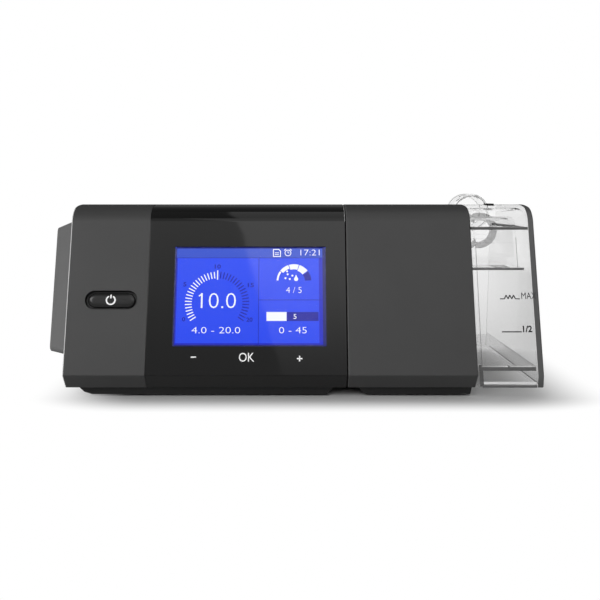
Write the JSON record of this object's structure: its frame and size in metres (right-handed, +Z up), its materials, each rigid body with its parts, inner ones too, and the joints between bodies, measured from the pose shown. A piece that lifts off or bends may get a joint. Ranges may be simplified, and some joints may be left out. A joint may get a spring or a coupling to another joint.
{
  "type": "cpap machine",
  "caption": "Bedside breathing-therapy machine: leaning front with lit screen and power button, docked heated humidifier with a clear pull-out water chamber.",
  "frame": {"origin": "under the middle of the machine, on the surface that it stands on", "axes": "+X to the right as seen from the front, +Y to the back, +Z up"},
  "size_m": [0.2408, 0.13, 0.0981],
  "materials": {
    "satin_case": "fine satin moulding",
    "grey_case": "fine satin moulding",
    "gloss_lens": "high gloss",
    "clear_window": "clear, polished",
    "lcd": "lit blue screen",
    "button": "fine satin moulding",
    "black_plastic": "moulded",
    "board": "solder mask",
    "sheet_steel": "stamped",
    "screws": "zinc plated",
    "brass_fittings": "plain",
    "feet": "moulded rubber",
    "silicone": "translucent silicone",
    "grey_seal": "soft seal",
    "duct_plastic": "moulded",
    "white_plastic": "moulded",
    "windings": "enamelled copper on laminations",
    "foam": "open-cell foam",
    "heater_metal": "flat, lightly brushed",
    "clear_plastic": "clear, polished",
    "smoke_plastic": "smoke tint, polished"
  },
  "bodies": {
    "main_unit": {"front_cover": "satin_case", "display_lens": "gloss_lens", "lcd_window": "clear_window", "lcd_module": "lcd", "display_bracket": "sheet_steel", "display_board": "board", "touch_strip": "board", "power_switch": "black_plastic", "switch_board": "board", "rear_case": "satin_case", "base_pan": "black_plastic", "blower_posts": "sheet_steel", "board_standoffs": "brass_fittings", "main_board": "board", "board_parts": "black_plastic", "speaker": "black_plastic", "case_screws": "screws", "main_feet": "feet", "blower_lower": "duct_plastic", "blower_upper": "duct_plastic", "blower_mounts": "feet", "motor_bearings": "screws", "motor_stator": "windings", "outlet_duct": "silicone", "intake_muffler": "duct_plastic", "muffler_foam": "foam", "intake_filter": "foam", "power_jack": "black_plastic", "card_reader": "sheet_steel", "dock_socket": "black_plastic"},
    "power_button": {"power_button": "button"},
    "rotor": {"impeller": "white_plastic", "motor_shaft": "screws", "motor_rotor": "sheet_steel"},
    "filter_cover": {"filter_cover": "grey_case"},
    "data_card": {"data_card": "black_plastic"},
    "humidifier": {"humidifier_cover": "satin_case", "humidifier_base": "black_plastic", "humidifier_screws": "screws", "humidifier_feet": "feet", "heater_frame": "black_plastic", "heater_springs": "screws", "inlet_tube": "duct_plastic", "dock_seal": "silicone", "inlet_seal": "silicone", "dock_plug": "black_plastic", "dock_pins": "brass_fittings"},
    "heater": {"heater_plate": "heater_metal", "heater_pad": "silicone"},
    "water_chamber": {"chamber_tub": "clear_plastic", "chamber_lid": "clear_plastic", "chamber_gasket": "grey_seal", "chamber_end_panel": "smoke_plastic", "chamber_base_plate": "heater_metal", "air_guide": "clear_plastic", "guide_collar": "clear_plastic", "lid_latch": "black_plastic"}
  },
  "joints": [
    {"name": "humidifier_dock", "type": "slide", "parent": "main_unit", "child": "humidifier", "axis": [1, 0, 0], "range_m": [0, 0.03]},
    {"name": "chamber_slide", "type": "slide", "parent": "humidifier", "child": "water_chamber", "axis": [1, 0, 0], "range_m": [0, 0.06]},
    {"name": "heater_press", "type": "slide", "parent": "humidifier", "child": "heater", "axis": [0, 0, -1], "range_m": [0, 0.0012], "stiffness_N_per_m": 1500, "springref_m": -0.002, "deforming": ["heater_springs"]},
    {"name": "filter_cover_pull", "type": "slide", "parent": "main_unit", "child": "filter_cover", "axis": [-1, 0, 0], "range_m": [0, 0.02]},
    {"name": "power_press", "type": "slide", "parent": "main_unit", "child": "power_button", "axis": [0, 0.9397, -0.342], "range_m": [0, 0.0008], "stiffness_N_per_m": 800, "springref_m": -0.0006},
    {"name": "card_slide", "type": "slide", "parent": "main_unit", "child": "data_card", "axis": [0, 1, 0], "range_m": [0, 0.024]},
    {"name": "rotor_spin", "type": "hinge", "parent": "main_unit", "child": "rotor", "pos_m": [-0.05275, 0.018, 0.05], "axis": [0, 0, 1], "continuous": true}
  ]
}
